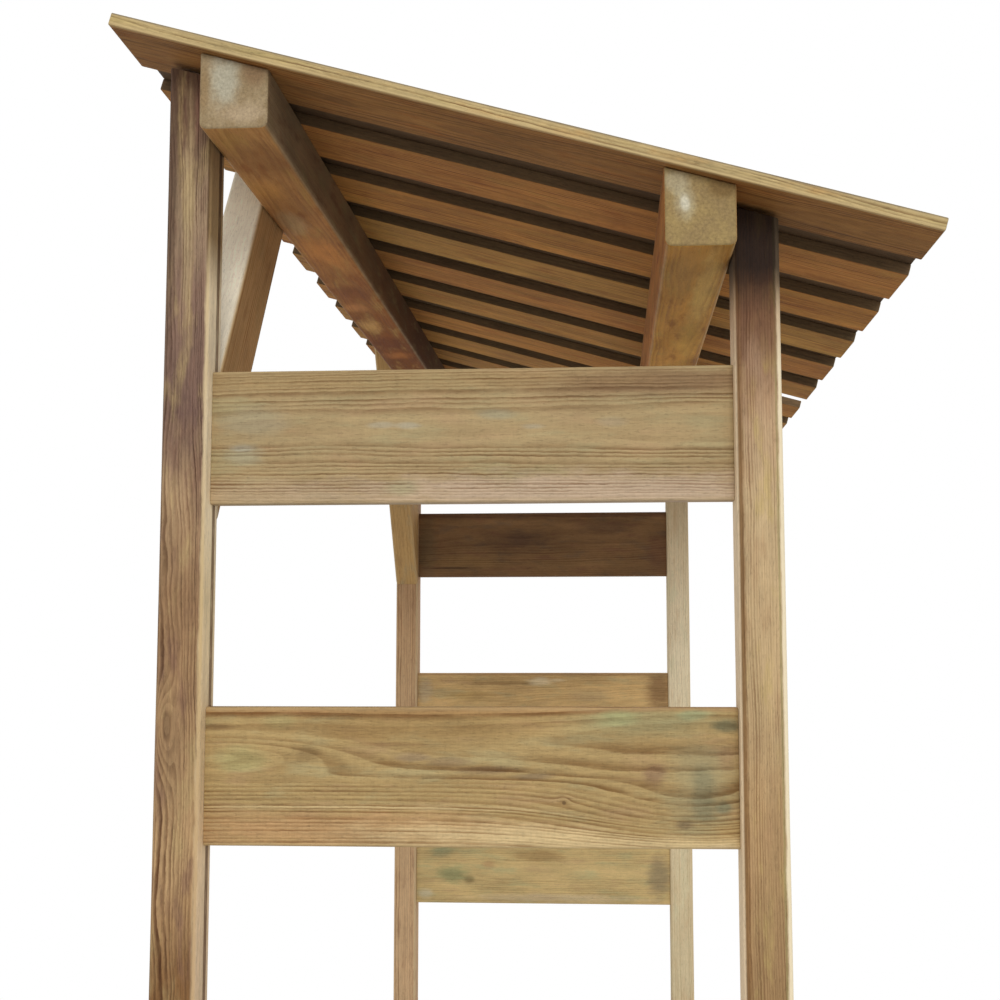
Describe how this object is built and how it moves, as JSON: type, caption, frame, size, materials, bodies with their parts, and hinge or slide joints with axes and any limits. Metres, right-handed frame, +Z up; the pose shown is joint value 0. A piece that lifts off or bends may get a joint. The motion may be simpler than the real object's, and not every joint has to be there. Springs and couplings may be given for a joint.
{
  "type": "firewood shelter",
  "caption": "Open lean-to timber frame with boarded ends and a sloping board-on-board roof, for keeping a stack of firewood dry.",
  "frame": {"origin": "on the floor under the middle of the bounding box", "axes": "+Z up, +Y along the length of the shelter, +X from the high eave to the low eave"},
  "size_m": [0.7998, 1.592, 1.6961],
  "materials": {
    "post_wood": "sawn, weathered pressure-treated pine",
    "board_wood": "sawn, pressure-treated pine with a green tint",
    "beam_wood": "planed, pressure-treated pine with round lower edges",
    "roof_wood": "sawn, pressure-treated pine"
  },
  "bodies": {
    "root": {"near_high_post": "post_wood", "near_low_post": "post_wood", "far_high_post": "post_wood", "far_low_post": "post_wood", "near_board_1": "board_wood", "near_board_2": "board_wood", "near_board_3": "board_wood", "near_board_4": "board_wood", "far_board_1": "board_wood", "far_board_2": "board_wood", "far_board_3": "board_wood", "far_board_4": "board_wood", "high_beam": "beam_wood", "low_beam": "beam_wood", "near_brace": "beam_wood", "far_brace": "beam_wood", "under_board_1": "roof_wood", "under_board_2": "roof_wood", "under_board_3": "roof_wood", "under_board_4": "roof_wood", "under_board_5": "roof_wood", "under_board_6": "roof_wood", "under_board_7": "roof_wood", "under_board_8": "roof_wood", "under_board_9": "roof_wood", "under_board_10": "roof_wood", "under_board_11": "roof_wood", "cover_board_1": "roof_wood", "cover_board_2": "roof_wood", "cover_board_3": "roof_wood", "cover_board_4": "roof_wood", "cover_board_5": "roof_wood", "cover_board_6": "roof_wood", "cover_board_7": "roof_wood", "cover_board_8": "roof_wood", "cover_board_9": "roof_wood", "cover_board_10": "roof_wood"}
  },
  "joints": []
}
